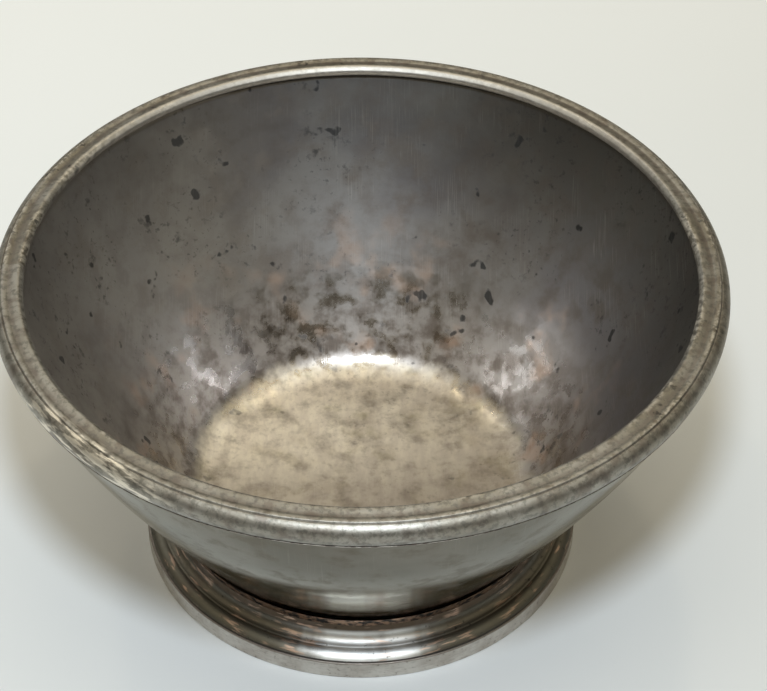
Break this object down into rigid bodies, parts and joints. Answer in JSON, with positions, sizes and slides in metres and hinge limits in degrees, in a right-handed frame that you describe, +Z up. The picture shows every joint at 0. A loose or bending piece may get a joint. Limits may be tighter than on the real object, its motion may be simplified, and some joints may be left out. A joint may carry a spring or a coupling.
{
  "type": "open sugar bowl",
  "caption": "Open round silver-plated sugar bowl: a flared bowl with a reeded rim moulding on a low spreading foot, for holding loose sugar or sugar lumps at table.",
  "frame": {"origin": "centre of the ring face that the foot stands on", "axes": "+Z up along the bowl's axis of revolution; +X and +Y are any two directions across it"},
  "size_m": [0.104, 0.104, 0.0506],
  "materials": {
    "shell_silver": "worn silver plate over nickel silver, tarnished and scratched, glossy outside and matt on the floor inside",
    "rim_silver": "worn silver plate, slightly grainy, with dark tarnish in the grooves",
    "solder_silver": "dull solder line under the rim",
    "foot_silver": "glossy silver plate with warm brown tarnish in the cove",
    "band_silver": "matt, finely brushed silver plate",
    "solder_tarnish": "dull solder line with copper-brown tarnish"
  },
  "bodies": {
    "root": {"bowl_shell": "shell_silver", "rim_moulding": "rim_silver", "rim_solder": "solder_silver", "foot_ring": "foot_silver", "foot_band": "band_silver", "neck_solder": "solder_tarnish"}
  },
  "joints": []
}
